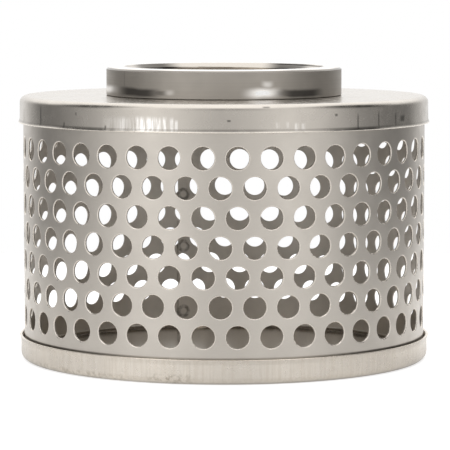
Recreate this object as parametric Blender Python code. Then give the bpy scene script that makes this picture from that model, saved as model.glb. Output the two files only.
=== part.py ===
"""Hydraulic suction strainer: a rolled perforated shell between two pressed caps, with a threaded collar on top.

Metres, +Z up. The origin is the centre of the face that the strainer stands on, and the shell's seam is at the back.
"""

import math

import bmesh
import bpy
from mathutils import Vector
from mathutils.geometry import delaunay_2d_cdt

# Fits between pieces
SEAT_GAP = 0.0003
LAP_GAP = 0.00015

# Perforated sheet, before and after rolling
SHELL_DIAMETER = 0.1776
SHEET = 0.0009
HOLE_DIAMETER = 0.009525
HOLE_PITCH = 0.0142875
HOLE_ROWS = 7
PLAIN_BAND_ABOVE = 0.0057
PLAIN_BAND_BELOW = 0.0044
SEAM_OVERLAP = 0.009
SEAM_ANGLE = math.radians(188.7)
PATTERN_START = -0.0016
JOGGLE_RUN = 0.005
JOGGLE_CLEARANCE = 0.001
NUGGET_DIAMETER = 0.004
NUGGET_INSET = 0.0064

# Pressed caps
CAP_SHEET = 0.0012
CAP_BEND = 0.003
TOP_SKIRT = 0.0118
BOTTOM_SKIRT = 0.0106
LIP_FLARE = 0.0006
LIP_HEIGHT = 0.0025

# Threaded collar, bored to the crest of its 3 inch thread
COLLAR_BORE = 0.0846
COLLAR_WALL = 0.0097
COLLAR_SHOULDER = 0.003
COLLAR_RISE = 0.0127
SPIGOT_DROP = 0.011
MOUTH_CHAMFER = 0.0022
RIM_CHAMFER = 0.0011
WELD_LEG = 0.0035

# Facets
HOLE_SIDES = 6
TURNED_SEGMENTS = 40
OUTER_BEND_SEGMENTS = 3
INNER_BEND_SEGMENTS = 2
NUGGET_SIDES = 8

# Heights and radii that follow from the sizes above
SHELL_RADIUS = SHELL_DIAMETER / 2
NEUTRAL_RADIUS = SHELL_RADIUS - SHEET / 2
ROW_PITCH = HOLE_PITCH * math.sin(math.pi / 3)
SHELL_SHOWING = PLAIN_BAND_ABOVE + PLAIN_BAND_BELOW + HOLE_DIAMETER + (HOLE_ROWS - 1) * ROW_PITCH
SKIRT_BORE_RADIUS = SHELL_RADIUS + SEAT_GAP
TOP_SKIRT_EDGE = BOTTOM_SKIRT + SHELL_SHOWING
DECK = TOP_SKIRT_EDGE + TOP_SKIRT
SHELL_FOOT = CAP_BEND
SHELL_HEIGHT = DECK - CAP_BEND - SHELL_FOOT
FIRST_ROW = TOP_SKIRT_EDGE - PLAIN_BAND_ABOVE - HOLE_DIAMETER / 2 - SHELL_FOOT
BLANK_LENGTH = 2 * math.pi * NEUTRAL_RADIUS + SEAM_OVERLAP
LAP_STEP = SHEET + LAP_GAP
COLLAR_RADIUS = COLLAR_BORE / 2 + COLLAR_WALL
SPIGOT_RADIUS = COLLAR_RADIUS - COLLAR_SHOULDER
DECK_HOLE_RADIUS = SPIGOT_RADIUS + SEAT_GAP


def metal(name, colour, roughness):
    """A plain metal of one colour."""
    material = bpy.data.materials.new(name)
    material.use_nodes = True
    shader = material.node_tree.nodes["Principled BSDF"]
    shader.inputs["Base Color"].default_value = (*colour, 1)
    shader.inputs["Metallic"].default_value = 1
    shader.inputs["Roughness"].default_value = roughness
    return material


def finished_object(name, mesh, material):
    """Puts a mesh into the scene with its material, shaded smooth up to its real edges."""
    mesh.materials.append(material)
    mesh.shade_smooth()
    mesh.set_sharp_from_angle(angle=math.radians(30))
    piece = bpy.data.objects.new(name, mesh)
    bpy.context.scene.collection.objects.link(piece)
    return piece


def corner_reach(sides):
    """How far out the corners of a polygon lie, as a share of the radius of the circle with the same area."""
    step = 2 * math.pi / sides
    return math.sqrt(step / math.sin(step))


def arc(centre, radius, start, end, steps):
    """Points on an arc from one angle to another, both in degrees, ends included."""
    angles = [math.radians(start + (end - start) * i / steps) for i in range(steps + 1)]
    return [(centre[0] + radius * math.cos(a), centre[1] + radius * math.sin(a)) for a in angles]


def turned(name, profile, material):
    """Spins a closed outline of (radius, height) points about Z. A first and last point on the axis close a disc."""
    shape = bmesh.new()
    reach = corner_reach(TURNED_SEGMENTS)
    points = [shape.verts.new((radius * reach, 0, height)) for radius, height in profile]
    on_axis = profile[0][0] == 0
    ring = points if on_axis else points + points[:1]
    edges = [shape.edges.new(pair) for pair in zip(ring, ring[1:])]
    bmesh.ops.spin(
        shape,
        geom=points + edges,
        cent=(0, 0, 0),
        axis=(0, 0, 1),
        angle=2 * math.pi,
        steps=TURNED_SEGMENTS,
        use_merge=True,
    )
    bmesh.ops.remove_doubles(shape, verts=shape.verts, dist=1e-6)
    bmesh.ops.recalc_face_normals(shape, faces=shape.faces)
    mesh = bpy.data.meshes.new(name)
    shape.to_mesh(mesh)
    shape.free()
    return finished_object(name, mesh, material)


def hole_centres():
    """Centres of the staggered holes in the flat blank, row by row, those that its ends cut through included."""
    reach = HOLE_DIAMETER / 2
    for row in range(HOLE_ROWS):
        along = PATTERN_START + (row % 2) * HOLE_PITCH / 2
        height = FIRST_ROW - row * ROW_PITCH
        while along < BLANK_LENGTH + reach:
            yield Vector((along, height))
            along += HOLE_PITCH


def blank_triangles(centres):
    """The flat blank as points and triangles, with its holes left out."""
    points = []
    edges = []

    def add_loop(loop):
        first = len(points)
        points.extend(loop)
        edges.extend((first + i, first + (i + 1) % len(loop)) for i in range(len(loop)))

    # The outline's facets are short enough to sink by only a quarter of the gap between the laps.
    stations = math.ceil(BLANK_LENGTH / math.sqrt(2 * NEUTRAL_RADIUS * LAP_GAP))
    lower = [Vector((BLANK_LENGTH * i / stations, 0)) for i in range(stations + 1)]
    upper = [Vector((point.x, SHELL_HEIGHT)) for point in reversed(lower)]
    add_loop(lower + upper)

    # Two fold lines carry the joggle that lets the inner lap pass under the outer one. The others keep both laps
    # round, so that no facet of one sinks into the other.
    inner_lap = BLANK_LENGTH - SEAM_OVERLAP
    fold_end = inner_lap - JOGGLE_CLEARANCE
    for along in (SEAM_OVERLAP / 2, SEAM_OVERLAP, fold_end - JOGGLE_RUN, fold_end, inner_lap + SEAM_OVERLAP / 2):
        points.extend((Vector((along, 0)), Vector((along, SHELL_HEIGHT))))
        edges.append((len(points) - 2, len(points) - 1))

    step = 2 * math.pi / HOLE_SIDES
    corner_radius = HOLE_DIAMETER / 2 * corner_reach(HOLE_SIDES)
    corners = [
        Vector((math.cos(step * i), math.sin(step * i))) * corner_radius
        for i in range(HOLE_SIDES)
    ]
    for centre in centres:
        add_loop([centre + corner for corner in corners])

    flat, _, faces, *_ = delaunay_2d_cdt(points, edges, [], 0, 1e-7)
    inside_hole = corner_radius * math.cos(step / 2)

    def is_sheet(face):
        middle = sum((flat[i] for i in face), Vector((0, 0))) / 3
        on_blank = 0 < middle.x < BLANK_LENGTH and 0 < middle.y < SHELL_HEIGHT
        return on_blank and all((middle - centre).length > inside_hole for centre in centres)

    return flat, [face for face in faces if is_sheet(face)]


def rolled(along, height, depth):
    """Where a point of the blank lies once it is rolled, depth being how far it is below the outer face."""
    fold_start = BLANK_LENGTH - SEAM_OVERLAP - JOGGLE_CLEARANCE - JOGGLE_RUN
    folded = min(max((along - fold_start) / JOGGLE_RUN, 0), 1)
    radius = SHELL_RADIUS - depth - folded * LAP_STEP
    angle = SEAM_ANGLE + along / NEUTRAL_RADIUS
    return (radius * math.sin(angle), -radius * math.cos(angle), SHELL_FOOT + height)


def perforated_sheet():
    """The blank, thickened and rolled, with its ends lapped but not yet joined."""
    flat, faces = blank_triangles(list(hole_centres()))
    shape = bmesh.new()
    used = sorted({i for face in faces for i in face})
    outer = {i: shape.verts.new(rolled(flat[i].x, flat[i].y, 0)) for i in used}
    inner = {i: shape.verts.new(rolled(flat[i].x, flat[i].y, SHEET)) for i in used}
    for face in faces:
        shape.faces.new([outer[i] for i in face])
        shape.faces.new([inner[i] for i in reversed(face)])
    rims = {}
    for face in faces:
        for a, b in zip(face, face[1:] + face[:1]):
            rims[a, b] = (b, a) not in rims
            if not rims[a, b]:
                rims[b, a] = False
    for (a, b), is_rim in rims.items():
        if is_rim:
            shape.faces.new((outer[b], outer[a], inner[a], inner[b]))
    bmesh.ops.recalc_face_normals(shape, faces=shape.faces)
    mesh = bpy.data.meshes.new("perforated_shell")
    shape.to_mesh(mesh)
    shape.free()
    return mesh


def weld_nuggets():
    """One mesh of round nuggets, half a sheet deep in both laps: one between three holes under every other row, and
    one in the plain band at the foot."""
    shape = bmesh.new()
    along = BLANK_LENGTH - SEAM_OVERLAP + NUGGET_INSET
    angle = SEAM_ANGLE + along / NEUTRAL_RADIUS
    heights = [FIRST_ROW - (row + 1 / 3) * ROW_PITCH for row in range(0, HOLE_ROWS - 1, 2)]
    heights.append((FIRST_ROW - (HOLE_ROWS - 1) * ROW_PITCH - HOLE_DIAMETER / 2) / 2)
    radius = NUGGET_DIAMETER / 2 * corner_reach(NUGGET_SIDES)
    for height in heights:
        middle = Vector(rolled(along, height, -LAP_GAP / 2))
        turn = Vector((math.sin(angle), -math.cos(angle), 0)).to_track_quat("Z", "Y").to_matrix().to_4x4()
        turn.translation = middle
        bmesh.ops.create_cone(
            shape,
            cap_ends=True,
            segments=NUGGET_SIDES,
            radius1=radius,
            radius2=radius,
            depth=LAP_GAP + SHEET,
            matrix=turn,
        )
    mesh = bpy.data.meshes.new("weld_nuggets")
    shape.to_mesh(mesh)
    shape.free()
    return mesh


def perforated_shell(material):
    """The rolled sheet, spot-welded along its lap."""
    shell = finished_object("perforated_shell", perforated_sheet(), material)
    nuggets = bpy.data.objects.new("weld_nuggets", weld_nuggets())
    nuggets.hide_render = True
    nuggets.display_type = "WIRE"
    bpy.context.scene.collection.objects.link(nuggets)
    weld = shell.modifiers.new("spot_welds", "BOOLEAN")
    weld.operation = "UNION"
    weld.object = nuggets
    return shell


def pressed_cap(name, skirt, hole_radius, material):
    """A cap pressed from sheet, lying open side up with its flat face at Z = 0 and its lip flared outwards."""
    bore = SKIRT_BORE_RADIUS
    outside = bore + CAP_SHEET
    inner_bend = CAP_BEND - CAP_SHEET
    corner = (outside - CAP_BEND, CAP_BEND)
    lip_start = skirt - LIP_HEIGHT
    profile = [(hole_radius, 0)]
    profile += arc(corner, CAP_BEND, -90, 0, OUTER_BEND_SEGMENTS)
    profile += [(outside, lip_start), (outside + LIP_FLARE, skirt), (bore + LIP_FLARE, skirt), (bore, lip_start)]
    profile += arc(corner, inner_bend, 0, -90, INNER_BEND_SEGMENTS)
    profile += [(hole_radius, CAP_SHEET)]
    return turned(name, profile, material)


def threaded_collar(material):
    """The collar: its shoulder sits on the deck and its spigot goes through."""
    rim = COLLAR_RADIUS
    bore = COLLAR_BORE / 2
    top = DECK + COLLAR_RISE
    shoulder = DECK + SEAT_GAP
    foot = DECK - SPIGOT_DROP
    profile = [
        (bore, foot),
        (SPIGOT_RADIUS, foot),
        (SPIGOT_RADIUS, shoulder),
        (rim, shoulder),
        (rim, top - RIM_CHAMFER),
        (rim - RIM_CHAMFER, top),
        (bore + MOUTH_CHAMFER, top),
        (bore, top - MOUTH_CHAMFER),
    ]
    return turned("threaded_collar", profile, material)


def collar_weld(material):
    """The fillet weld round the spigot, under the deck."""
    inner = SPIGOT_RADIUS + SEAT_GAP
    upper = DECK - CAP_SHEET - SEAT_GAP
    profile = [(inner, upper), (inner + WELD_LEG, upper), (inner, upper - WELD_LEG)]
    return turned("collar_weld", profile, material)


def build():
    for leftover in list(bpy.data.objects):
        bpy.data.objects.remove(leftover)
    plated_sheet = metal("plated_sheet", (0.58, 0.55, 0.52), 0.42)
    plated_pressing = metal("plated_pressing", (0.66, 0.64, 0.60), 0.30)
    turned_steel = metal("turned_steel", (0.50, 0.48, 0.45), 0.34)
    weld_steel = metal("weld_steel", (0.36, 0.34, 0.32), 0.55)

    perforated_shell(plated_sheet)
    pressed_cap("bottom_cap", BOTTOM_SKIRT, 0, plated_pressing)
    top_cap = pressed_cap("top_cap", TOP_SKIRT, DECK_HOLE_RADIUS, plated_pressing)
    top_cap.location.z = DECK
    top_cap.rotation_euler.x = math.pi
    threaded_collar(turned_steel)
    collar_weld(weld_steel)


build()
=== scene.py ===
"""Looks of the suction strainer: finer meshes for its five pieces, plated finishes, a studio and a camera."""

import math

import bpy
import numpy as np
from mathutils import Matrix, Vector
from mathutils.geometry import delaunay_2d_cdt


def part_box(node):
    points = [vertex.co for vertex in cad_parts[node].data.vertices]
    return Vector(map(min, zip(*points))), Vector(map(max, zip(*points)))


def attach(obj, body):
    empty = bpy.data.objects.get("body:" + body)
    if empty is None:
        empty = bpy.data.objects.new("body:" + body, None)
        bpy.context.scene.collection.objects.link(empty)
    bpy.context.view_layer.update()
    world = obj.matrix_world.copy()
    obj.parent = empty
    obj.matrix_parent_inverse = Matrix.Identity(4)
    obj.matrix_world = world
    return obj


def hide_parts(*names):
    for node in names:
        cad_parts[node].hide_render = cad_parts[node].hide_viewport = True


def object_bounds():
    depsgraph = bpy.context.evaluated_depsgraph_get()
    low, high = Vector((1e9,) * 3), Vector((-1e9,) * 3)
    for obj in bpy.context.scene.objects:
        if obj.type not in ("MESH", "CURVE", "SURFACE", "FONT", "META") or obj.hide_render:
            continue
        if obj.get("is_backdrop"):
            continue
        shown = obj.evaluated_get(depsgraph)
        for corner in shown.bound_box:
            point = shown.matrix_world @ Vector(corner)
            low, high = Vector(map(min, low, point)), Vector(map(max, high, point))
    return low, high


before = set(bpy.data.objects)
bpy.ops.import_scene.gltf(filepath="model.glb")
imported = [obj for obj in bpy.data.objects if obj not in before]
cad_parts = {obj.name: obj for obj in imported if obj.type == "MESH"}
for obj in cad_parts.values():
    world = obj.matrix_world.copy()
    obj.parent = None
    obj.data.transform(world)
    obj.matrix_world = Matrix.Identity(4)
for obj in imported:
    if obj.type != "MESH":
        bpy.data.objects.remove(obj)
cad_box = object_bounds()

# Perforated sheet, as in the solid
SHELL_RADIUS = 0.0888
SHEET = 0.0009
HOLE_RADIUS = 0.0047625
HOLE_PITCH = 0.0142875
HOLE_ROWS = 7
PLAIN_BAND_ABOVE = 0.0057
SEAM_OVERLAP = 0.009
SEAM_ANGLE = math.radians(188.7)
PATTERN_START = -0.0016
JOGGLE_RUN = 0.005
JOGGLE_CLEARANCE = 0.001
LAP_GAP = 0.00015
NUGGET_INSET = 0.0064
SEAT_GAP = 0.0003

# Traces of the punch and the spot welder, which the solid lacks
ROLL_OVER = 0.00045
BURR_ROUND = 0.00008
WELD_MARK_RADIUS = 0.0024
WELD_MARK_DEPTH = 0.00012
WELD_MARK_FLAT = 0.35
BURNT_RING_RADIUS = 0.0023

# Pressed caps, as in the solid
CAP_SHEET = 0.0012
CAP_BEND = 0.003
LIP_FLARE = 0.0006
LIP_HEIGHT = 0.0025
SHEAR_ROUND = 0.00028

# Collar, as in the solid, and its 3 inch straight pipe thread, whose flats are a share of the pitch
COLLAR_RADIUS = 0.052
BORE_RADIUS = 0.0423
SPIGOT_RADIUS = 0.049
MOUTH_CHAMFER = 0.0022
RIM_CHAMFER = 0.0011
BROKEN_EDGE = 0.00015
THREAD_PITCH = 0.003175
THREAD_DEPTH = 0.0018
THREAD_FLAT = 0.14

# Weld, as in the solid, and the ripples that its beads leave
WELD_LEG = 0.0035
BEAD_SHARE = 0.98
RIPPLES = 150
RIPPLE_DEPTH = 0.0001
RIPPLE_FADE = 0.12
RIPPLE_RISE = 0.6

# Heights, read from the frame
SHELL_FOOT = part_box("perforated_shell")[0][2]
SHELL_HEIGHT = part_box("perforated_shell")[1][2] - SHELL_FOOT
TOP_SKIRT_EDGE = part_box("top_cap")[0][2]
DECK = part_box("top_cap")[1][2]
BOTTOM_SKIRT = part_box("bottom_cap")[1][2]
SPIGOT_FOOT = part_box("threaded_collar")[0][2]
COLLAR_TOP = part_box("threaded_collar")[1][2]

# Fineness of the meshes
PLACES_PER_METRE = 1e7
STATIONS_PER_PITCH = 6
HOLE_SIDES = 36
ROLL_STEPS = 4
JOGGLE_COLUMNS = 8
JOGGLE_ROWS = 60
JOGGLE_MARGIN = 0.0005
WELD_RINGS = (0.3, 0.6, 0.85, 1.1, 1.35)
WELD_RING_SIDES = 18
WELD_MARGIN = 0.0003
SLOPE_STEP = 0.0001
CAP_SEGMENTS = 480
PROFILE_STEP = 0.00002
NO_LENGTH = 1e-9
ON_AXIS = 1e-6
WIDE_ROWS_SHARE = 0.93
FLAT_STEPS = 6
EDGE_STEPS = 2
SKIRT_STEPS = 8
BEND_STEPS = 10
INNER_BEND_STEPS = 6
ROUND_STEPS = 3
COLLAR_SEGMENTS = 240
COLLAR_STEPS = 16
RIM_STEPS = 3
ROWS_PER_THREAD = 12

# A triangle whose middle is nearer to a hole's centre than this share of the loop's radius is in the hole
LOOP_FLAT = 0.995

# Slots of the shell's metals, and of the collar's second one
OUTER_FACE, SHEARED, DRAWN_RIM, INNER_FACE = range(4)
THREAD_SLOT = 1

RIM_RADIUS = HOLE_RADIUS + ROLL_OVER
ROW_PITCH = HOLE_PITCH * math.sin(math.pi / 3)
NEUTRAL_RADIUS = SHELL_RADIUS - SHEET / 2
BLANK_LENGTH = 2 * math.pi * NEUTRAL_RADIUS + SEAM_OVERLAP
FIRST_ROW = TOP_SKIRT_EDGE - PLAIN_BAND_ABOVE - HOLE_RADIUS - SHELL_FOOT
LAP_STEP = SHEET + LAP_GAP
FOLD_END = BLANK_LENGTH - SEAM_OVERLAP - JOGGLE_CLEARANCE
FOLD_START = FOLD_END - JOGGLE_RUN
SKIRT_BORE = SHELL_RADIUS + SEAT_GAP
SKIRT_RADIUS = SKIRT_BORE + CAP_SHEET
METRES_PER_DEGREE = SHELL_RADIUS * math.radians(1)


class Mesh:
    """Collects points and faces with a normal and a texture place at each corner."""

    def __init__(self):
        self.points = []
        self.keys = {}
        self.faces = []
        self.normals = []
        self.places = []
        self.slots = []

    def point(self, place):
        """The number of the point here. Points in the same tenth of a micron are one."""
        key = tuple(int(round(c * PLACES_PER_METRE)) for c in place)
        if key not in self.keys:
            self.keys[key] = len(self.points)
            self.points.append(tuple(place))
        return self.keys[key]

    def face(self, corners, slot=0):
        """Adds a face from (point number, normal, (u, v)) corners. Corners that fall together are dropped."""
        kept = [c for c, before in zip(corners, corners[-1:] + corners[:-1]) if c[0] != before[0]]
        if len(kept) < 3:
            return
        self.faces.append([c[0] for c in kept])
        self.normals.extend(tuple(c[1]) for c in kept)
        self.places.extend(tuple(c[2]) for c in kept)
        self.slots.append(slot)

    def finish(self, name, materials, node, record_slot):
        """Makes the piece, which stands for its solid."""
        mesh = bpy.data.meshes.new(name)
        mesh.from_pydata(self.points, [], self.faces)
        for material in materials:
            mesh.materials.append(material)
        mesh.polygons.foreach_set("material_index", self.slots)
        layer = mesh.uv_layers.new(name="unrolled_metres")
        layer.data.foreach_set("uv", np.array(self.places, np.float32).ravel())
        mesh.polygons.foreach_set("use_smooth", [True] * len(self.faces))
        mesh.normals_split_custom_set(self.normals)
        mesh.update()
        piece = bpy.data.objects.new(name, mesh)
        bpy.context.scene.collection.objects.link(piece)
        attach(piece, "root")
        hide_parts(node)
        return piece


# Perforated shell


def smooth(x):
    """Rises from 0 to 1 with no corner at either end."""
    x = min(max(x, 0), 1)
    return x * x * (3 - 2 * x)


def rolled(along, height, depth):
    """Where a point of the flat blank lies once rolled, depth being how far it is below the outer face."""
    radius = SHELL_RADIUS - depth - smooth((along - FOLD_START) / JOGGLE_RUN) * LAP_STEP
    angle = SEAM_ANGLE + along / NEUTRAL_RADIUS
    return (radius * math.sin(angle), -radius * math.cos(angle), SHELL_FOOT + height)


def rolled_normal(along, normal):
    """Turns a direction in the flat blank (along, up, out) into one on the rolled sheet."""
    angle = SEAM_ANGLE + along / NEUTRAL_RADIUS
    tilt = 0
    if FOLD_START < along < FOLD_END:
        x = (along - FOLD_START) / JOGGLE_RUN
        tilt = 6 * x * (1 - x) * LAP_STEP / JOGGLE_RUN
    tangent = Vector((math.cos(angle), math.sin(angle), 0))
    out = Vector((math.sin(angle), -math.cos(angle), 0))
    slanted_out = (out + tangent * tilt).normalized()
    return (tangent * normal[0] + Vector((0, 0, 1)) * normal[1] + slanted_out * normal[2]).normalized()


def sheet_corner(point, along, height, normal):
    """A corner of one of the sheet's faces, from its place and normal in the flat blank."""
    return (point, rolled_normal(along, normal), (along, height))


def hole_centres():
    """Centres of the staggered holes in the flat blank, those that its ends cut through included."""
    for row in range(HOLE_ROWS):
        along = PATTERN_START + (row % 2) * HOLE_PITCH / 2
        height = FIRST_ROW - row * ROW_PITCH
        while along < BLANK_LENGTH + HOLE_RADIUS:
            yield Vector((along, height))
            along += HOLE_PITCH


def is_whole(centre):
    """Whether both ends of the blank miss a hole and its drawn-in edge."""
    return RIM_RADIUS < centre.x < BLANK_LENGTH - RIM_RADIUS


def cut_radius(centre):
    """Where the flat part of the sheet ends round a hole. Only whole holes have the drawn-in edge."""
    return RIM_RADIUS if is_whole(centre) else HOLE_RADIUS


def circle(centre, radius, sides):
    angles = [2 * math.pi * i / sides for i in range(sides)]
    return [centre + Vector((math.cos(a), math.sin(a))) * radius for a in angles]


def weld_centres():
    """Centres of the spot welds in the blank, on each of its two laps."""
    heights = [FIRST_ROW - (row + 1 / 3) * ROW_PITCH for row in range(0, HOLE_ROWS - 1, 2)]
    heights.append((FIRST_ROW - (HOLE_ROWS - 1) * ROW_PITCH - HOLE_RADIUS) / 2)
    for height in heights:
        yield Vector((NUGGET_INSET, height))
        yield Vector((BLANK_LENGTH - SEAM_OVERLAP + NUGGET_INSET, height))


def weld_dent(along, height, welds):
    """How far the electrode pressed the sheet in at a point of the blank."""
    nearest = min((Vector((along, height)) - weld).length for weld in welds)
    if nearest >= 2 * WELD_MARK_RADIUS:
        return 0
    return WELD_MARK_DEPTH * (1 - smooth(nearest / WELD_MARK_RADIUS - WELD_MARK_FLAT) ** 2)


def loose_points(centres, welds):
    """Points of the blank, clear of its holes, that carry the joggle and the marks of the spot welds."""

    def is_clear(point, margin):
        return all((point - centre).length > RIM_RADIUS + margin for centre in centres)

    for column in range(JOGGLE_COLUMNS + 1):
        along = FOLD_START + JOGGLE_RUN * column / JOGGLE_COLUMNS
        for step in range(1, JOGGLE_ROWS):
            point = Vector((along, SHELL_HEIGHT * step / JOGGLE_ROWS))
            if is_clear(point, JOGGLE_MARGIN):
                yield point
    for weld in welds:
        yield weld
        for ring in WELD_RINGS:
            for point in circle(weld, WELD_MARK_RADIUS * ring, WELD_RING_SIDES):
                if is_clear(point, WELD_MARGIN):
                    yield point


def sheet_test(centres):
    """A test of whether a triangle of the blank is sheet, which looks only at the holes near it."""
    grid = {}
    for centre in centres:
        place = (round(centre.x / HOLE_PITCH), round(centre.y / ROW_PITCH))
        grid.setdefault(place, []).append((centre, cut_radius(centre)))

    def is_sheet(corners):
        middle = sum(corners, Vector((0, 0))) / 3
        if not (0 < middle.x < BLANK_LENGTH and 0 < middle.y < SHELL_HEIGHT):
            return False
        column = round(middle.x / HOLE_PITCH)
        row = round(middle.y / ROW_PITCH)
        places = [(column + i, row + j) for i in (-1, 0, 1) for j in (-1, 0, 1)]
        near = [hole for place in places for hole in grid.get(place, [])]
        return all((middle - centre).length > radius * LOOP_FLAT for centre, radius in near)

    return is_sheet


def blank_triangles(centres, welds):
    """The flat blank: its points, its triangles, and each whole hole's centre with the points round it."""
    points = []
    edges = []

    def add_loop(loop):
        first = len(points)
        points.extend(loop)
        edges.extend((first + i, first + (i + 1) % len(loop)) for i in range(len(loop)))
        return range(first, first + len(loop))

    stations = round(BLANK_LENGTH / (HOLE_PITCH / STATIONS_PER_PITCH))
    lower = [Vector((BLANK_LENGTH * i / stations, 0)) for i in range(stations + 1)]
    add_loop(lower + [Vector((p.x, SHELL_HEIGHT)) for p in reversed(lower)])
    loops = [(centre, add_loop(circle(centre, cut_radius(centre), HOLE_SIDES))) for centre in centres]
    points.extend(loose_points(centres, welds))

    flat, _, faces, origins, *_ = delaunay_2d_cdt(points, edges, [], 0, 1 / PLACES_PER_METRE)
    number = {origin: i for i, found in enumerate(origins) for origin in found}
    is_sheet = sheet_test(centres)
    kept = [face for face in faces if is_sheet([flat[i] for i in face])]
    rings = [(centre, [number[i] for i in loop]) for centre, loop in loops if is_whole(centre)]
    return flat, kept, rings


class RolledBlank:
    """The blank's points, rolled to an outer and an inner face, with the spot welds' marks pressed in."""

    def __init__(self, mesh, flat, faces, welds):
        self.flat = flat
        self.welds = welds
        self.dents = [weld_dent(p.x, p.y, welds) for p in flat]
        self.is_inner_lap = [p.x > BLANK_LENGTH / 2 for p in flat]
        self.outer = {}
        self.inner = {}
        for i in sorted({i for face in faces for i in face}):
            p = flat[i]
            dent = self.dents[i]
            inner_lap = self.is_inner_lap[i]
            self.outer[i] = mesh.point(rolled(p.x, p.y, 0 if inner_lap else dent))
            self.inner[i] = mesh.point(rolled(p.x, p.y, SHEET - (dent if inner_lap else 0)))

    def normal(self, i, out):
        """The sheet's normal at a point, tipped towards the middle of a spot weld's mark."""
        if self.is_inner_lap[i] == (out > 0) or not self.dents[i]:
            return (0, 0, out)
        p = self.flat[i]
        step = SLOPE_STEP
        slope_x = weld_dent(p.x + step, p.y, self.welds) - weld_dent(p.x - step, p.y, self.welds)
        slope_y = weld_dent(p.x, p.y + step, self.welds) - weld_dent(p.x, p.y - step, self.welds)
        return (slope_x / step / 2, slope_y / step / 2, out)

    def corner(self, points, i, normal):
        return sheet_corner(points[i], self.flat[i].x, self.flat[i].y, normal)


def add_sheet(mesh, blank, faces):
    """The sheet's two broad faces."""
    for face in faces:
        mesh.face([blank.corner(blank.outer, i, blank.normal(i, 1)) for i in face], OUTER_FACE)
        mesh.face([blank.corner(blank.inner, i, blank.normal(i, -1)) for i in reversed(face)], INNER_FACE)


def hole_section():
    """A hole's edge, outer face to inner face, as (radius, depth, (towards the hole, outwards)) points."""
    section = []
    for step in range(ROLL_STEPS + 1):
        turn = math.pi / 2 * step / ROLL_STEPS
        radius = HOLE_RADIUS + ROLL_OVER * (1 - math.sin(turn))
        section.append((radius, ROLL_OVER * (1 - math.cos(turn)), (math.sin(turn), math.cos(turn))))
    for turn in (0, math.pi / 4, math.pi / 2):
        radius = HOLE_RADIUS + BURR_ROUND * (1 - math.cos(turn))
        depth = SHEET - BURR_ROUND * (1 - math.sin(turn))
        section.append((radius, depth, (math.cos(turn), -math.sin(turn))))
    section.append((HOLE_RADIUS + ROLL_OVER, SHEET, (0, -1)))
    return section


def add_hole_rim(mesh, blank, centre, ring, section):
    """The rim of a whole hole: the drawn-in outer edge, the sheared wall and the inner face beside it."""
    rows = [[blank.outer[i] for i in ring]]
    for radius, depth, _ in section[1:-1]:
        rows.append([mesh.point(rolled(p.x, p.y, depth)) for p in circle(centre, radius, HOLE_SIDES)])
    rows.append([blank.inner[i] for i in ring])
    slots = [DRAWN_RIM] * ROLL_STEPS + [SHEARED] * (len(rows) - 2 - ROLL_STEPS) + [INNER_FACE]
    for k, slot in enumerate(slots):
        for i in range(HOLE_SIDES):
            j = (i + 1) % HOLE_SIDES
            corners = []
            for row, spoke in ((k, i), (k, j), (k + 1, j), (k + 1, i)):
                angle = 2 * math.pi * spoke / HOLE_SIDES
                radius, _, (toward, out) = section[row]
                spot = centre + Vector((math.cos(angle), math.sin(angle))) * radius
                normal = (-math.cos(angle) * toward, -math.sin(angle) * toward, out)
                corners.append(sheet_corner(rows[row][spoke], spot.x, spot.y, normal))
            mesh.face(corners, slot)


def add_sheared_edges(mesh, blank, faces, rings):
    """The sheared edges of the blank, and of the holes that they cut through."""
    flat = blank.flat
    rounded = {i for _, ring in rings for i in ring}
    sides = {(a, b) for face in faces for a, b in zip(face, face[1:] + face[:1])}
    for a, b in sides:
        if (b, a) in sides or (a in rounded and b in rounded):
            continue
        run = (flat[b] - flat[a]).normalized()
        ends = ((blank.outer, b), (blank.outer, a), (blank.inner, a), (blank.inner, b))
        mesh.face([blank.corner(points, i, (run.y, -run.x, 0)) for points, i in ends], SHEARED)


def perforated_shell(outer_metal, edge_metal, rim_metal, inner_metal):
    """The rolled sheet with its round holes. The punch drew the outer edge of each one in."""
    centres = list(hole_centres())
    welds = list(weld_centres())
    flat, faces, rings = blank_triangles(centres, welds)
    mesh = Mesh()
    blank = RolledBlank(mesh, flat, faces, welds)
    add_sheet(mesh, blank, faces)
    section = hole_section()
    for centre, ring in rings:
        add_hole_rim(mesh, blank, centre, ring, section)
    add_sheared_edges(mesh, blank, faces, rings)
    metals = [outer_metal, edge_metal, rim_metal, inner_metal]
    return mesh.finish("shell_punched_sheet", metals, "perforated_shell", "plated_sheet")


# Turned and pressed pieces


def line(start, end, steps=1):
    """A straight run of a profile as (radius, height, normal) points, with the metal on its right."""
    run = Vector(end) - Vector(start)
    normal = Vector((-run.y, run.x)).normalized()
    return [(*(Vector(start) + run * i / steps), *normal) for i in range(steps + 1)]


def bend(centre, radius, start, end, steps):
    """A round run of a profile, from one angle in degrees to another. It is hollow where it turns left."""
    side = -1 if end > start else 1
    found = []
    for i in range(steps + 1):
        angle = math.radians(start + (end - start) * i / steps)
        spoke = Vector((math.cos(angle), math.sin(angle)))
        found.append((*(Vector(centre) + spoke * radius), *(spoke * side)))
    return found


def flare(start, end, steps, inside=False):
    """A run that leaves the skirt straight and curves out to the lip, or comes back up its inner side."""
    found = []
    for i in range(steps + 1):
        t = i / steps
        slope = 2 * t * (end[0] - start[0]) / (start[1] - end[1])
        normal = Vector((1, slope)).normalized()
        found.append((start[0] + (end[0] - start[0]) * t * t, start[1] + (end[1] - start[1]) * t, *normal))
    if inside:
        return [(radius, height, -out, -up) for radius, height, out, up in reversed(found)]
    return found


def still(angles, radius, height):
    """No displacement."""
    return np.zeros_like(angles), np.zeros_like(angles)


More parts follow.
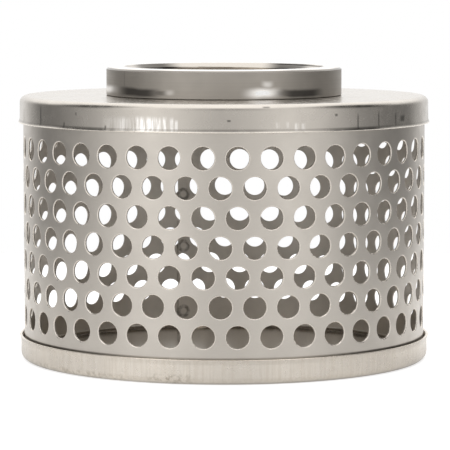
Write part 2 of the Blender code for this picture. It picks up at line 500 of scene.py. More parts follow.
def spin(mesh, runs, segments, displace=still, slot=0):
    """Turns a profile's runs about Z. displace(angles, radius, height) gives each point's move (out, up)."""
    angles = 2 * np.pi * np.arange(segments) / segments
    travelled = 0
    for run in runs:
        rows = []
        for index, (radius, height, out, up) in enumerate(run):
            if index:
                travelled += math.hypot(radius - run[index - 1][0], height - run[index - 1][1])
            rows.append(spun_row(mesh, angles, (radius, height), (out, up), displace, travelled))
        for (points_a, normals_a, v_a), (points_b, normals_b, v_b) in zip(rows, rows[1:]):
            for i in range(segments):
                j = (i + 1) % segments
                u_i = angles[i] * SHELL_RADIUS
                u_j = u_i + 2 * np.pi / segments * SHELL_RADIUS
                mesh.face(
                    [
                        (points_a[i], normals_a[i], (u_i, v_a)),
                        (points_b[i], normals_b[i], (u_i, v_b)),
                        (points_b[j], normals_b[j], (u_j, v_b)),
                        (points_a[j], normals_a[j], (u_j, v_a)),
                    ],
                    slot,
                )


def spun_row(mesh, angles, place, normal, displace, travelled):
    """One ring of a spun profile: its points, its normals once displaced, and its texture height."""
    radius, height = place
    out, up = normal

    def moved(turned_by, shift):
        """The ring's points once each is shifted along the profile, turned about Z and displaced."""
        a = angles + turned_by
        r = radius + up * shift
        z = height - out * shift
        dr, dz = displace(a, r, z)
        return np.stack([(r + dr) * np.sin(a), -(r + dr) * np.cos(a), z + dz], 1)

    places = moved(0, 0)
    points = [mesh.point(p) for p in places]
    if radius < ON_AXIS:
        normals = np.tile((0.0, 0.0, float(up)), (len(angles), 1))
        return points, normals, travelled
    turn = PROFILE_STEP / radius
    around = moved(turn, 0) - moved(-turn, 0)
    down = moved(0, PROFILE_STEP) - moved(0, -PROFILE_STEP)
    normals = np.cross(around, down)
    plain = np.stack([out * np.sin(angles), -out * np.cos(angles), np.full(len(angles), up)], 1)
    normals *= np.sign((normals * plain).sum(1))[:, None]
    normals /= np.linalg.norm(normals, axis=1)[:, None]
    return points, normals, travelled


def bump_at(angles, centre, width):
    """1 at the centre, falling smoothly, to about a third at the width. Both are in degrees."""
    off = (np.degrees(angles) - centre + 180) % 360 - 180
    return np.exp(-((off / width) ** 2))


# Soft upright creases that pressing left in the skirts: (angle, width, depth)
DRAW_MARKS = [
    (-33.5, 1.2, 0.00006),
    (-30.0, 0.8, 0.00005),
    (-27.0, 1.0, -0.00006),
    (-23.5, 0.8, 0.00006),
    (-20.5, 1.1, -0.00005),
    (-16.5, 1.0, 0.00004),
    (18.5, 0.9, 0.00005),
    (21.5, 0.8, -0.00005),
]

# What the skirts lack of true roundness: (depth, waves all round, phase)
UNROUNDNESS = [
    (0.00003, 17, 1.3),
    (0.00002, 41, 0.4),
]


def skirt_creases(edge, away):
    """The displacement of a pressed skirt: draw marks that fade from the lip, and a slight unroundness."""

    def displace(angles, radius, height):
        fade = smooth(1 - abs(height - edge) / away)
        if radius < SKIRT_BORE - CAP_BEND or not fade:
            return still(angles, radius, height)
        out = sum(depth * np.sin(angles * waves + phase) for depth, waves, phase in UNROUNDNESS)
        for angle, width, depth in DRAW_MARKS:
            out = out + depth * bump_at(angles, angle, width)
        return out * fade, np.zeros_like(angles)

    return displace


def cap_runs(face, skirt, hole_radius, turn):
    """The profile of a pressed cap, whose skirt points down from the face at turn 1 and up at turn -1."""
    bend_radius = SKIRT_RADIUS - CAP_BEND
    near_bend = bend_radius * WIDE_ROWS_SHARE
    inner_bend = CAP_BEND - CAP_SHEET
    lip_start = skirt - LIP_HEIGHT
    lip_outside = SKIRT_RADIUS + LIP_FLARE
    lip_inside = lip_outside - CAP_SHEET
    rounding = SHEAR_ROUND
    runs = [
        line((hole_radius, 0), (near_bend, 0), FLAT_STEPS),
        line((near_bend, 0), (bend_radius, 0), EDGE_STEPS),
        bend((bend_radius, -CAP_BEND), CAP_BEND, 90, 0, BEND_STEPS),
        line((SKIRT_RADIUS, -CAP_BEND), (SKIRT_RADIUS, -lip_start), SKIRT_STEPS),
        flare((SKIRT_RADIUS, -lip_start), (lip_outside, -skirt + rounding), SKIRT_STEPS),
        bend((lip_outside - rounding, -skirt + rounding), rounding, 0, -90, ROUND_STEPS),
        line((lip_outside - rounding, -skirt), (lip_inside + rounding, -skirt)),
        bend((lip_inside + rounding, -skirt + rounding), rounding, -90, -180, ROUND_STEPS),
        flare((SKIRT_BORE, -lip_start), (lip_inside, -skirt + rounding), SKIRT_STEPS, inside=True),
        line((SKIRT_BORE, -lip_start), (SKIRT_BORE, -CAP_BEND), SKIRT_STEPS),
        bend((bend_radius, -CAP_BEND), inner_bend, 0, 90, INNER_BEND_STEPS),
        line((bend_radius, -CAP_SHEET), (hole_radius, -CAP_SHEET), FLAT_STEPS),
    ]
    if hole_radius:
        runs.append(line((hole_radius, -CAP_SHEET), (hole_radius, 0)))
    return [[(r, face + turn * z, out, turn * up) for r, z, out, up in run] for run in runs]


def pressed_cap(name, node, face, skirt, hole_radius, turn, material):
    """A pressed cap. Where its skirt points up, its profile is run backwards to keep the faces outwards."""
    mesh = Mesh()
    runs = cap_runs(face, skirt, hole_radius, turn)
    creases = skirt_creases(face - turn * skirt, skirt - CAP_BEND)
    if turn < 0:
        runs = [run[::-1] for run in reversed(runs)]
    spin(mesh, runs, CAP_SEGMENTS, creases)
    return mesh.finish(name, [material], node, "plated_pressing")


def thread_radius(angle, height):
    """Radius of the threaded bore: flanks about 65 degrees apart, narrow flats, and the mouth's chamfer."""
    phase = ((height - COLLAR_TOP) / THREAD_PITCH - angle / (2 * math.pi)) % 1
    flank = (0.5 - abs(phase - 0.5)) * 2
    cut = min(max((flank - THREAD_FLAT) / (1 - 2 * THREAD_FLAT), 0), 1)
    mouth = BORE_RADIUS + MOUTH_CHAMFER - (COLLAR_TOP - height)
    return max(BORE_RADIUS + THREAD_DEPTH * cut, mouth)


def threaded_bore(mesh, slot):
    """The bore from the spigot's foot to the mouth. Its rows climb with the thread, cut off at both faces."""
    rise = THREAD_PITCH / ROWS_PER_THREAD
    rows = range(-ROWS_PER_THREAD - 1, math.ceil((COLLAR_TOP - SPIGOT_FOOT) / rise) + 2)

    def place(spoke, row):
        angle = 2 * math.pi * spoke / COLLAR_SEGMENTS
        on_helix = COLLAR_TOP - row * rise + THREAD_PITCH * spoke / COLLAR_SEGMENTS
        height = min(max(on_helix, SPIGOT_FOOT), COLLAR_TOP)
        return angle, thread_radius(angle, height), height

    for spoke in range(COLLAR_SEGMENTS):
        for row in rows:
            ahead = spoke + 1
            corners = [place(spoke, row), place(spoke, row + 1), place(ahead, row + 1), place(ahead, row)]
            found = []
            for index, (angle, radius, height) in enumerate(corners):
                _, above_r, above_z = corners[0 if index < 2 else 3]
                _, below_r, below_z = corners[1 if index < 2 else 2]
                drop = Vector((below_r - above_r, below_z - above_z))
                if drop.length < NO_LENGTH:
                    drop = Vector((0, -1))
                out, up = Vector((drop.y, -drop.x)).normalized()
                point = mesh.point((radius * math.sin(angle), -radius * math.cos(angle), height))
                normal = (out * math.sin(angle), -out * math.cos(angle), up)
                found.append((point, normal, (angle * BORE_RADIUS, height)))
            mesh.face(found[::-1], slot)


def threaded_collar(outside_metal, thread_metal):
    """The collar, with its edges just broken and the thread cut right through."""
    shoulder = DECK + SEAT_GAP
    broken = BROKEN_EDGE
    rim_out = COLLAR_RADIUS - RIM_CHAMFER
    rim = [
        line((BORE_RADIUS + MOUTH_CHAMFER, COLLAR_TOP), (rim_out, COLLAR_TOP), RIM_STEPS),
        line((rim_out, COLLAR_TOP), (COLLAR_RADIUS, COLLAR_TOP - RIM_CHAMFER), RIM_STEPS),
    ]
    runs = [
        line((COLLAR_RADIUS, COLLAR_TOP - RIM_CHAMFER), (COLLAR_RADIUS, shoulder + broken), COLLAR_STEPS),
        bend((COLLAR_RADIUS - broken, shoulder + broken), broken, 0, -90, ROUND_STEPS),
        line((COLLAR_RADIUS - broken, shoulder), (SPIGOT_RADIUS, shoulder)),
        line((SPIGOT_RADIUS, shoulder), (SPIGOT_RADIUS, SPIGOT_FOOT)),
    ]
    mesh = Mesh()
    spin(mesh, rim, COLLAR_SEGMENTS, slot=THREAD_SLOT)
    spin(mesh, runs, COLLAR_SEGMENTS)
    threaded_bore(mesh, THREAD_SLOT)

    # The spigot's end face joins its outer wall to the thread.
    for spoke in range(COLLAR_SEGMENTS):
        corners = []
        for turn, is_outer in ((spoke, True), (spoke + 1, True), (spoke + 1, False), (spoke, False)):
            angle = 2 * math.pi * turn / COLLAR_SEGMENTS
            radius = SPIGOT_RADIUS if is_outer else thread_radius(angle, SPIGOT_FOOT)
            point = mesh.point((radius * math.sin(angle), -radius * math.cos(angle), SPIGOT_FOOT))
            corners.append((point, (0, 0, -1), (angle * SPIGOT_RADIUS, radius)))
        mesh.face(corners[::-1])
    return mesh.finish("collar_turned_ring", [outside_metal, thread_metal], "threaded_collar", "turned_steel")


def collar_weld(material):
    """The fillet weld under the deck, with the ripples of its beads."""
    inner = SPIGOT_RADIUS + SEAT_GAP
    upper = DECK - CAP_SHEET - SEAT_GAP
    corner = (inner + WELD_LEG, upper - WELD_LEG)
    bead = WELD_LEG * BEAD_SHARE
    runs = [
        line((inner, upper), (inner + bead, upper), EDGE_STEPS),
        bend(corner, bead, 90, 180, BEND_STEPS),
        line((inner, upper - bead), (inner, upper), EDGE_STEPS),
    ]

    def ripple(angles, radius, height):
        inside = smooth(min(radius - inner, upper - height) / (WELD_LEG * RIPPLE_FADE))
        wave = RIPPLE_DEPTH * np.abs(np.sin(angles * (RIPPLES / 2))) * inside
        return -wave, wave * RIPPLE_RISE

    mesh = Mesh()
    spin(mesh, runs, CAP_SEGMENTS, ripple)
    return mesh.finish("weld_rippled_bead", [material], "collar_weld", "weld_steel")


# Finishes


class Nodes:
    """A node tree, with short calls that add nodes to it."""

    def __init__(self, tree):
        self.tree = tree

    def add(self, kind, **settings):
        node = self.tree.nodes.new(kind)
        for key, value in settings.items():
            setattr(node, key, value)
        return node

    def link(self, value, socket):
        """Joins an output to an input, or writes a number or colour there."""
        if isinstance(value, bpy.types.NodeSocket):
            self.tree.links.new(value, socket)
        else:
            socket.default_value = value

    def math(self, operation, a, b=0.0, c=0.0):
        node = self.add("ShaderNodeMath", operation=operation)
        for value, socket in zip((a, b, c), node.inputs):
            self.link(value, socket)
        return node.outputs[0]

    def separate(self, vector):
        """The x, y and z of a vector."""
        node = self.add("ShaderNodeSeparateXYZ")
        self.link(vector, node.inputs[0])
        return node.outputs

    def angle_round(self, x, y):
        """The angle about Z, in radians, counted from the camera's side."""
        return self.math("ARCTAN2", x, self.math("MULTIPLY", y, -1.0))

    def spread(self, value, low, high, to_low=0.0, to_high=1.0):
        """Maps low..high to to_low..to_high, smoothly, and holds the ends."""
        node = self.add("ShaderNodeMapRange", interpolation_type="SMOOTHSTEP")
        self.link(value, node.inputs["Value"])
        for name, number in (("From Min", low), ("From Max", high), ("To Min", to_low), ("To Max", to_high)):
            self.link(number, node.inputs[name])
        return node.outputs[0]

    def mix(self, factor, a, b):
        node = self.add("ShaderNodeMix", data_type="RGBA")
        self.link(factor, node.inputs["Factor"])
        self.link(a, node.inputs["A"])
        self.link(b, node.inputs["B"])
        return node.outputs["Result"]


class Finish(Nodes):
    """A metal's node tree, which works in the object's own metres."""

    def __init__(self, name, colour, roughness):
        self.material = bpy.data.materials.new(name)
        self.material.use_nodes = True
        super().__init__(self.material.node_tree)
        self.shader = self.tree.nodes["Principled BSDF"]
        self.shader.inputs["Metallic"].default_value = 1
        self.shader.inputs["Base Color"].default_value = colour
        self.shader.inputs["Roughness"].default_value = roughness
        self.place = self.add("ShaderNodeTexCoord").outputs["Object"]

    def noise(self, scale, detail=2.0, stretch=(1, 1, 1), rough=0.5, vector=None):
        """Noise with scale cycles a metre along each axis, times stretch."""
        mapping = self.add("ShaderNodeMapping")
        self.link(vector or self.place, mapping.inputs["Vector"])
        mapping.inputs["Scale"].default_value = stretch
        node = self.add("ShaderNodeTexNoise")
        self.link(mapping.outputs[0], node.inputs["Vector"])
        node.inputs["Scale"].default_value = scale
        node.inputs["Detail"].default_value = detail
        node.inputs["Roughness"].default_value = rough
        return node.outputs["Fac"]

    def uneven(self, scale, detail, low=0.0, high=1.0):
        """Noise that runs softly from one number to another."""
        return self.spread(self.noise(scale, detail), 0.3, 0.7, low, high)

    def cylinder(self):
        """(angle in degrees from the front, height, radius) of the point being shaded."""
        x, y, z = self.separate(self.place)
        radius = self.math("SQRT", self.math("MULTIPLY_ADD", x, x, self.math("MULTIPLY", y, y)))
        return self.math("MULTIPLY", self.angle_round(x, y), 180 / math.pi), z, radius

    def patch(self, value, centre, half_width, soft):
        """1 where a value is within half_width of the centre, falling to 0 over the soft width."""
        off = self.math("ABSOLUTE", self.math("SUBTRACT", value, centre))
        return self.spread(off, half_width, half_width + soft, 1.0, 0.0)

    def marks(self, angle, height, table, soft=1.0):
        """The strongest of a table's marks at each point, their edges soft over a share of their sizes."""
        found = 0.0
        for at_angle, at_height, half_angle, half_height, strength in table:
            across = self.patch(angle, at_angle, half_angle * (1 - soft / 2), half_angle * soft)
            up = self.patch(height, at_height, half_height * (1 - soft / 2), half_height * soft)
            mark = self.math("MULTIPLY", self.math("MULTIPLY", across, up), strength)
            found = self.math("MAXIMUM", mark, found)
        return found

    def bump(self, height, distance, strength=1.0, below=None):
        node = self.add("ShaderNodeBump")
        node.inputs["Strength"].default_value = strength
        node.inputs["Distance"].default_value = distance
        self.link(height, node.inputs["Height"])
        if below:
            self.link(below, node.inputs["Normal"])
        return node.outputs["Normal"]

    def colour(self, value):
        self.link(value, self.shader.inputs["Base Color"])

    def roughness(self, value):
        self.link(value, self.shader.inputs["Roughness"])

    def normal(self, value):
        self.link(value, self.shader.inputs["Normal"])


# Reflectances of the metals, before their warmth, how much it lifts red and lowers blue, and the stains
SHEET_GREY = 0.6
CAP_GREY = 0.56
# The bottom cap's grey is painted lighter than the top cap's, for the floor light that it catches; its creamy
# tint is its own.
LOWER_CAP_PAINTED_LIGHT_GREY = 0.75
INNER_GREY = 0.56
COLLAR_GREY = 0.43
RED_LIFT = 0.85
BLUE_DROP = 1.1
STAIN_BROWN = (0.4, 0.34, 0.26, 1)


def grey(value, warmth=0.09):
    """A warm metal grey, in linear light."""
    return (value * (1 + RED_LIFT * warmth), value, value * (1 - BLUE_DROP * warmth), 1.0)


def plated_sheet():
    """The shell's satin plate: mill grain, soft clouds and a painted shade line, stronger at the sides, where
    it enters the bottom cap.
    """
    finish = Finish("plated_sheet", grey(SHEET_GREY), 0.36)
    clouds = finish.noise(60, 3)
    grain = finish.noise(400, 2, stretch=(1, 1, 9))
    peel = finish.noise(1400, 2)
    tone = finish.mix(finish.spread(clouds, 0.35, 0.65), grey(SHEET_GREY * 0.98), grey(SHEET_GREY * 1.03))
    grained = finish.mix(finish.spread(grain, 0.3, 0.75, 0.0, 0.25), tone, grey(SHEET_GREY * 1.1))
    angle, height, _ = finish.cylinder()
    # Painted shade: a dark line on the shell just over the bottom skirt, stronger towards the sides, for the
    # shadow of the gap there.
    at_side = finish.spread(finish.math("ABSOLUTE", angle), 15, 60, 0.35, 0.9)
    painted_gap_shade = finish.math("MULTIPLY", finish.patch(height, BOTTOM_SKIRT, 0.0004, 0.0004), at_side)
    finish.colour(finish.mix(painted_gap_shade, grained, grey(SHEET_GREY * 0.15)))
    finish.roughness(finish.uneven(220, 3, 0.29, 0.36))
    below = finish.bump(peel, 0.00003, 0.35)
    finish.normal(finish.bump(grain, 0.00002, 0.3, below))
    return finish.material


def burnt_rings(finish, angle, height):
    """1 along the rings that the spot welder burnt on the inner lap, 0 away from them."""
    rings = 0.0
    for weld in weld_centres():
        if weld.x > BLANK_LENGTH / 2:
            turn = math.degrees(SEAM_ANGLE + weld.x / NEUTRAL_RADIUS) % 360 - 360
            across = finish.math("MULTIPLY", finish.math("SUBTRACT", angle, turn), METRES_PER_DEGREE)
            up = finish.math("SUBTRACT", height, SHELL_FOOT + weld.y)
            squares = finish.math("MULTIPLY_ADD", across, across, finish.math("MULTIPLY", up, up))
            ring = finish.patch(finish.math("SQRT", squares), BURNT_RING_RADIUS, 0.0003, 0.0009)
            rings = finish.math("MAXIMUM", ring, rings)
    return rings


def inner_sheet():
    """The shell's inner face, a little darker grey than the outer face."""
    finish = Finish("inner_sheet", grey(INNER_GREY), 0.4)
    tone = finish.mix(finish.uneven(80, 3), grey(INNER_GREY * 0.92), grey(INNER_GREY * 1.08))
    angle, height, _ = finish.cylinder()
    patchy = finish.spread(finish.noise(500, 2), 0.3, 0.6, 0.2, 0.8)
    burnt = finish.math("MULTIPLY", burnt_rings(finish, angle, height), patchy)
    finish.colour(finish.mix(burnt, tone, grey(INNER_GREY * 0.25)))
    finish.roughness(finish.uneven(240, 3, 0.36, 0.46))
    finish.normal(finish.bump(finish.noise(900, 2), 0.00003, 0.3))
    return finish.material


def punched_edge():
    """The sheared wall of a hole: dull, torn metal."""
    finish = Finish("punched_edge", grey(0.42), 0.45)
    finish.colour(finish.mix(finish.uneven(1800, 2), grey(0.34), grey(0.5)))
    finish.roughness(finish.uneven(900, 2, 0.38, 0.55))
    finish.normal(finish.bump(finish.noise(2500, 2), 0.00002, 0.4))
    return finish.material


def drawn_rim():
    """The outer edge that the punch drew in: stretched and burnished bright."""
    finish = Finish("drawn_rim", grey(0.77), 0.26)
    finish.roughness(finish.uneven(700, 2, 0.2, 0.34))
    finish.normal(finish.bump(finish.noise(2200, 2), 0.00002, 0.3))
    return finish.material


# Marks on the metal, painted highlights and painted dark reflections among them: (degrees from the front,
# height over the edge near them, both half sizes, strength)
# Painted highlights: bright streaks on the top skirt
SKIRT_PAINTED_HIGHLIGHT_STREAKS = [
    (-24.0, 0.0032, 9.0, 0.0026, 0.22),
    (-27.4, 0.0032, 1.2, 0.0026, 0.5),
    (-23.7, 0.0032, 1.0, 0.0028, 0.75),
    (-20.6, 0.0030, 2.4, 0.0029, 1.0),
    (-17.6, 0.0032, 0.8, 0.0026, 0.8),
    (-15.6, 0.0034, 0.6, 0.0026, 0.75),
    (-13.7, 0.0032, 0.5, 0.0026, 0.7),
    (-12.5, 0.0030, 0.4, 0.0020, 0.6),
    (14.2, 0.0032, 0.5, 0.0012, 0.25),
    (16.9, 0.0032, 0.4, 0.0012, 0.2),
    (19.4, 0.0024, 0.6, 0.0015, 0.4),
    (21.3, 0.0024, 0.6, 0.0013, 0.3),
]
SKIRT_SCRATCHES = [
    (-59.9, 0.0046, 0.35, 0.0040, 0.7),
    (-48.2, 0.0017, 0.25, 0.0012, 0.8),
    (-43.4, 0.0068, 0.30, 0.0006, 0.5),
    (-33.0, 0.0014, 0.25, 0.0010, 0.8),
    (1.3, 0.0051, 0.45, 0.0004, 0.8),
    (11.2, 0.0106, 0.90, 0.0003, 0.7),
    (31.1, 0.0069, 0.40, 0.0005, 0.8),
    (38.3, 0.0036, 0.25, 0.0030, 0.7),
    (46.1, 0.0040, 0.25, 0.0032, 0.7),
    (53.7, 0.0040, 0.35, 0.0026, 0.6),
    (57.3, 0.0040, 1.10, 0.0012, 0.7),
]
# Painted dark reflections on the collar, just over the deck
COLLAR_PAINTED_DARK_REFLECTIONS = [
    (-46.0, 0.0027, 12.0, 0.0017, 0.95),
    (-35.0, 0.0027, 6.0, 0.0010, 0.6),
    (40.5, 0.0026, 11.5, 0.0016, 0.95),
    (30.0, 0.0025, 5.0, 0.0010, 0.6),
    (-55.8, 0.0066, 0.4, 0.0050, 0.25),
]
# Painted highlights on the collar, just over the deck
COLLAR_PAINTED_HIGHLIGHTS = [
    (-76.0, 0.0032, 10.0, 0.0013, 0.8),
    (-26.5, 0.0029, 2.0, 0.0009, 0.3),
    (18.5, 0.0027, 6.5, 0.0017, 1.0),
    (20.8, 0.0064, 2.2, 0.0012, 0.5),
]
# Painted dark reflections at the back of the bore's mouth
MOUTH_PAINTED_DARK_REFLECTIONS = [
    (-131.0, -0.0013, 16.0, 0.0022, 0.85),
    (135.0, -0.0013, 15.0, 0.0022, 0.9),
]
STAINED_PARTS = [
    (-50.0, 0.0014, 22.0, 0.0016, 0.7),
    (-14.5, 0.0018, 5.5, 0.0022, 1.0),
]


def plated_pressing():
    """The caps' plate, with faint upright draw streaks on the skirts. The bottom cap's is creamier, and
    painted lighter for the floor light that it catches.
    """
    finish = Finish("plated_pressing", grey(CAP_GREY), 0.25)
    angle, height, radius = finish.cylinder()
    on_skirt = finish.spread(radius, SKIRT_BORE - CAP_BEND, SKIRT_BORE)
    streaks = finish.math("MULTIPLY", finish.noise(700, 3, stretch=(1, 1, 0.03)), on_skirt)
    clouds = finish.noise(45, 3)
    is_lower = finish.spread(height, 0.03, 0.05, 1.0, 0.0)
    is_outside = finish.spread(radius, SKIRT_BORE, SKIRT_BORE + CAP_SHEET / 2)
    drawn = finish.spread(finish.noise(1000, 3, stretch=(1, 1, 0.05)), 0.3, 0.7)
    # The bottom skirt: its own creamier tint, painted lighter for the floor light that it catches.
    skirt = finish.mix(drawn, grey(LOWER_CAP_PAINTED_LIGHT_GREY * 0.97, 0.12), grey(LOWER_CAP_PAINTED_LIGHT_GREY * 1.06, 0.1))
    lower = finish.mix(is_outside, grey(INNER_GREY * 1.2), skirt)
    base = finish.mix(is_lower, grey(CAP_GREY), lower)
    tone = finish.mix(finish.spread(clouds, 0.35, 0.65, 0.0, 0.25), base, grey(CAP_GREY * 1.15))
    streaked = finish.mix(finish.spread(streaks, 0.62, 0.8, 0.0, 0.25), tone, grey(CAP_GREY * 0.82))

    # The top skirt's painted highlight streaks and its scratches, a painted dark line and a painted highlight
    # at its lip, and the bottom skirt's brown specks
    over_lip = finish.math("SUBTRACT", height, TOP_SKIRT_EDGE)
    broken = finish.spread(finish.noise(1100, 3, stretch=(1, 1, 0.08)), 0.3, 0.6)
    # Painted highlights: bright streaks on the top skirt, which is also made smoother under them.
    burnished = finish.math("MULTIPLY", finish.marks(angle, over_lip, SKIRT_PAINTED_HIGHLIGHT_STREAKS), broken)
    brightened = finish.mix(burnished, streaked, grey(1.1, 0.03))
    scratched = finish.mix(finish.marks(angle, over_lip, SKIRT_SCRATCHES), brightened, grey(CAP_GREY * 0.25))
    # Painted shade: a faint dark line just over the top skirt's lip. Painted highlight: a bright band along
    # the lip's edge.
    painted_shade_over_lip = finish.math("MULTIPLY", finish.patch(over_lip, 0.0012, 0.0002, 0.0003), 0.35)
    lined = finish.mix(painted_shade_over_lip, scratched, grey(CAP_GREY * 0.4))
    lip_painted_highlight = finish.mix(finish.patch(over_lip, 0.0, 0.0004, 0.0003), lined, grey(0.9))
    specks = finish.spread(finish.noise(500, 5, rough=0.65), 0.42, 0.66)
    stained = finish.math("MULTIPLY", finish.marks(angle, height, STAINED_PARTS), specks)
    finish.colour(finish.mix(finish.math("MULTIPLY", stained, 0.7), lip_painted_highlight, STAIN_BROWN))
    over_floor = finish.spread(height, 0.0013, 0.003)
    rough = finish.math("MULTIPLY", finish.uneven(200, 3, 0.03, 0.11), over_floor)
    finish.roughness(finish.math("ADD", rough, finish.math("MULTIPLY_ADD", burnished, -0.08, 0.18)))
    peel = finish.math("MULTIPLY", finish.noise(1100, 2), over_floor)
    below = finish.bump(peel, 0.00002, 0.3)
    finish.normal(finish.bump(streaks, 0.00002, 0.2, below))
    return finish.material


def lathe_lines(finish, scale):
    """Noise that is the same all the way round, as a lathe leaves it."""
    _, height, radius = finish.cylinder()
    ring = finish.add("ShaderNodeCombineXYZ")
    finish.link(radius, ring.inputs[0])
    finish.link(height, ring.inputs[2])
    return finish.noise(scale, 3, vector=ring.outputs[0])


def turned_steel():
    """The collar's outside: fine lathe lines all round, with painted dark reflections and painted highlights
    just over the deck.
    """
    finish = Finish("turned_steel", grey(COLLAR_GREY), 0.4)
    angle, height, _ = finish.cylinder()
    lines = lathe_lines(finish, 5200)
    clouds = finish.noise(70, 2)
    tone = finish.mix(finish.spread(clouds, 0.35, 0.65), grey(COLLAR_GREY * 0.97), grey(COLLAR_GREY * 1.05))
    waver = finish.uneven(90, 2, -0.0003, 0.0003)
    over_deck = finish.math("SUBTRACT", finish.math("ADD", height, waver), DECK)
    # Painted dark reflections and painted highlights just over the deck; the highlights are also made
    # smoother.
    dark = finish.marks(angle, over_deck, COLLAR_PAINTED_DARK_REFLECTIONS)
    bright = finish.marks(angle, over_deck, COLLAR_PAINTED_HIGHLIGHTS, 1.7)
    finish.colour(finish.mix(bright, finish.mix(dark, tone, grey(COLLAR_GREY * 0.2)), grey(1.1, 0.03)))
    dull = finish.spread(lines, 0.3, 0.7, 0.42, 0.54)
    finish.roughness(finish.math("SUBTRACT", dull, finish.math("MULTIPLY", bright, 0.25)))
    finish.normal(finish.bump(lines, 0.00002, 0.3))
    return finish.material


def thread_steel():
    """Fresh turned metal: the collar's thread and its duller mouth with painted dark reflections, the bright
    rim, and the outer chamfer painted dark as a shade line.
    """
    finish = Finish("thread_steel", grey(0.66), 0.15)
    angle, height, radius = finish.cylinder()
    from_top = finish.math("SUBTRACT", height, COLLAR_TOP)
    flat_start = BORE_RADIUS + MOUTH_CHAMFER
    flat_end = COLLAR_RADIUS - RIM_CHAMFER
    in_mouth = finish.spread(from_top, -MOUTH_CHAMFER - 0.0002, -MOUTH_CHAMFER)
    inside = finish.mix(in_mouth, grey(0.6), grey(0.53))
    # Painted dark reflections at the back of the mouth
    reflection_banded = finish.mix(finish.marks(angle, from_top, MOUTH_PAINTED_DARK_REFLECTIONS), inside, grey(0.08))
    on_rim = finish.spread(radius, flat_start - 0.0001, flat_start + 0.0001)
    on_chamfer = finish.spread(radius, flat_end + 0.0002, flat_end + 0.0006)
    rim = finish.mix(on_rim, reflection_banded, grey(0.92, 0.05))
    # Painted shade: the outer chamfer is dark grey, as a shade line under the bright rim.
    finish.colour(finish.mix(on_chamfer, rim, grey(0.24)))
    finish.roughness(finish.spread(lathe_lines(finish, 3000), 0.3, 0.7, 0.1, 0.18))
    finish.normal(finish.bump(finish.noise(2600, 2, stretch=(1, 1, 3)), 0.00001, 0.3))
    return finish.material


def weld_steel():
    """The fillet weld, left as it was laid."""
    finish = Finish("weld_steel", grey(0.36), 0.5)
    finish.colour(finish.mix(finish.spread(finish.noise(500, 3), 0.35, 0.65), grey(0.3), grey(0.42)))
    finish.normal(finish.bump(finish.noise(1500, 3), 0.00006, 0.5))
    return finish.material


# Studio


FLOOR_SIDES = 128
FLOOR_RADIUS = 0.45
FLOOR_HEIGHT = -0.00005
FLOOR_COLOUR = 0.55
FLOOR_WHITE = 0.7
CAMERA_PLACE = (0.00046, -1.18866, 0.17022)
CAMERA_PITCH = 5.38
FOCAL_PIXELS = 2682.0
PHOTO_PIXELS = 450
SENSOR_WIDTH = 36


def add_camera():
    data = bpy.data.cameras.new("camera")
    data.sensor_width = SENSOR_WIDTH
    data.lens = FOCAL_PIXELS / PHOTO_PIXELS * SENSOR_WIDTH
    data.clip_start = 0.05
    data.clip_end = 30
    camera = bpy.data.objects.new("camera", data)
    camera.location = CAMERA_PLACE
    camera.rotation_euler = (math.radians(90 - CAMERA_PITCH), 0, 0)
    bpy.context.scene.collection.objects.link(camera)
    bpy.context.scene.camera = camera


# The room that the metal reflects, low down and higher up: (degrees from the camera's side, brightness).
# Two soft lamps stand in front, dark screens at the sides and a white backdrop behind.
ROOM_LOW = [
    (0, 0.62),
    (18, 0.8),
    (36, 1.05),
    (58, 0.79),
    (80, 0.34),
    (105, 0.22),
    (125, 0.2),
    (150, 0.85),
    (180, 1.1),
    (210, 0.95),
    (235, 0.2),
    (255, 0.24),
    (280, 0.48),
    (302, 0.88),
    (322, 1.18),
    (342, 0.84),
]
ROOM_HIGH = [
    (0, 0.42),
    (18, 0.56),
    (36, 1.07),
    (58, 0.8),
    (80, 0.04),
    (105, 0.02),
    (125, 1.07),
    (150, 1.45),
    (180, 1.4),
    (210, 1.4),
    (235, 1.3),
    (255, 0.03),
    (280, 0.1),
    (302, 1.2),
    (322, 1.15),
    (342, 0.68),
]
CEILING = 1.5

# Between which rises of a reflected ray the room goes from its low part to its high part, and to the ceiling
LOW_TO_HIGH = (0.2, 0.5)
HIGH_TO_CEILING = (0.72, 0.92)

# What the metal sees of the floor, by the same degrees
FLOOR_SHEEN = [
    (0, 0.27),
    (30, 0.27),
    (70, 0.21),
    (105, 0.44),
    (140, 0.68),
    (180, 0.7),
    (220, 0.65),
    (255, 0.34),
    (290, 0.24),
    (330, 0.37),
]


class Surroundings(Nodes):
    """A floor's or world's node tree, begun afresh."""

    def __init__(self, tree):
        super().__init__(tree)
        tree.nodes.clear()

    def round_about(self, x, y, stops):
        """A brightness that changes with the direction from the middle, through stops all the way round."""
        turn = self.math("DIVIDE", self.angle_round(x, y), 2 * math.pi)
        ramp = self.add("ShaderNodeValToRGB")
        self.link(self.math("FRACT", self.math("ADD", turn, 1.0)), ramp.inputs[0])
        elements = ramp.color_ramp.elements
        elements.remove(elements[1])
        for index, (degrees, brightness) in enumerate(stops + [(360, stops[0][1])]):
            element = elements[0] if index == 0 else elements.new(degrees / 360)
            element.position = degrees / 360
            element.color = (brightness, brightness, brightness, 1)
        return ramp.outputs["Color"]

    def ray(self, kind):
        return self.add("ShaderNodeLightPath").outputs[kind]


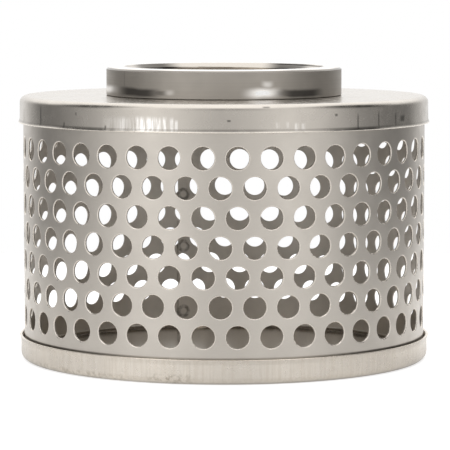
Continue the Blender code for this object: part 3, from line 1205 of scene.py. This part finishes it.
def add_floor():
    """A round pale table. It looks white to the camera, keeps the shadow, and shows in the metal."""
    ring = [2 * math.pi * i / FLOOR_SIDES for i in range(FLOOR_SIDES)]
    mesh = bpy.data.meshes.new("floor")
    corners = [(FLOOR_RADIUS * math.cos(a), FLOOR_RADIUS * math.sin(a), FLOOR_HEIGHT) for a in ring]
    mesh.from_pydata(corners, [], [range(FLOOR_SIDES)])
    material = bpy.data.materials.new("floor")
    material.use_nodes = True
    look = Surroundings(material.node_tree)
    matt = look.add("ShaderNodeBsdfDiffuse")
    matt.inputs["Color"].default_value = (FLOOR_COLOUR, FLOOR_COLOUR, FLOOR_COLOUR, 1)
    x, y, _ = look.separate(look.add("ShaderNodeTexCoord").outputs["Object"])
    white = look.math("MULTIPLY", look.ray("Is Camera Ray"), FLOOR_WHITE)
    sheen = look.math("MULTIPLY", look.ray("Is Glossy Ray"), look.round_about(x, y, FLOOR_SHEEN))
    glow = look.add("ShaderNodeEmission")
    look.link(look.math("ADD", white, sheen), glow.inputs["Strength"])
    both = look.add("ShaderNodeAddShader")
    look.link(matt.outputs[0], both.inputs[0])
    look.link(glow.outputs[0], both.inputs[1])
    look.link(both.outputs[0], look.add("ShaderNodeOutputMaterial").inputs["Surface"])
    mesh.materials.append(material)
    floor = bpy.data.objects.new("floor", mesh)
    bpy.context.scene.collection.objects.link(floor)
    floor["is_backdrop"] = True


def add_world():
    """A plain white background for the camera, and a soft studio all round for the metal."""
    world = bpy.data.worlds.new("studio")
    world.use_nodes = True
    look = Surroundings(world.node_tree)
    x, y, z = look.separate(look.add("ShaderNodeTexCoord").outputs["Generated"])
    low = look.round_about(x, y, ROOM_LOW)
    high = look.round_about(x, y, ROOM_HIGH)
    sides = look.mix(look.spread(z, *LOW_TO_HIGH), low, high)
    ceiling = (CEILING, CEILING, CEILING, 1)
    room = look.add("ShaderNodeBackground")
    look.link(look.mix(look.spread(z, *HIGH_TO_CEILING), sides, ceiling), room.inputs["Color"])
    white = look.add("ShaderNodeBackground")
    white.inputs["Color"].default_value = (1, 1, 1, 1)
    choice = look.add("ShaderNodeMixShader")
    look.link(look.ray("Is Camera Ray"), choice.inputs[0])
    look.link(room.outputs[0], choice.inputs[1])
    look.link(white.outputs[0], choice.inputs[2])
    look.link(choice.outputs[0], look.add("ShaderNodeOutputWorld").inputs["Surface"])
    bpy.context.scene.world = world


def write_size():
    boxes = {"cad": cad_box, "visual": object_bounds()}
    plain = {name: [[float(c) for c in corner] for corner in box] for name, box in boxes.items()}


def build():
    add_camera()
    add_floor()
    add_world()
    pressing = plated_pressing()
    perforated_shell(plated_sheet(), punched_edge(), drawn_rim(), inner_sheet())
    pressed_cap("bottom_cap_pressing", "bottom_cap", 0, BOTTOM_SKIRT, 0, -1, pressing)
    deck_hole = SPIGOT_RADIUS + SEAT_GAP
    pressed_cap("top_cap_pressing", "top_cap", DECK, DECK - TOP_SKIRT_EDGE, deck_hole, 1, pressing)
    threaded_collar(turned_steel(), thread_steel())
    collar_weld(weld_steel())
    bpy.context.scene.view_settings.view_transform = "Standard"


build()
write_size()
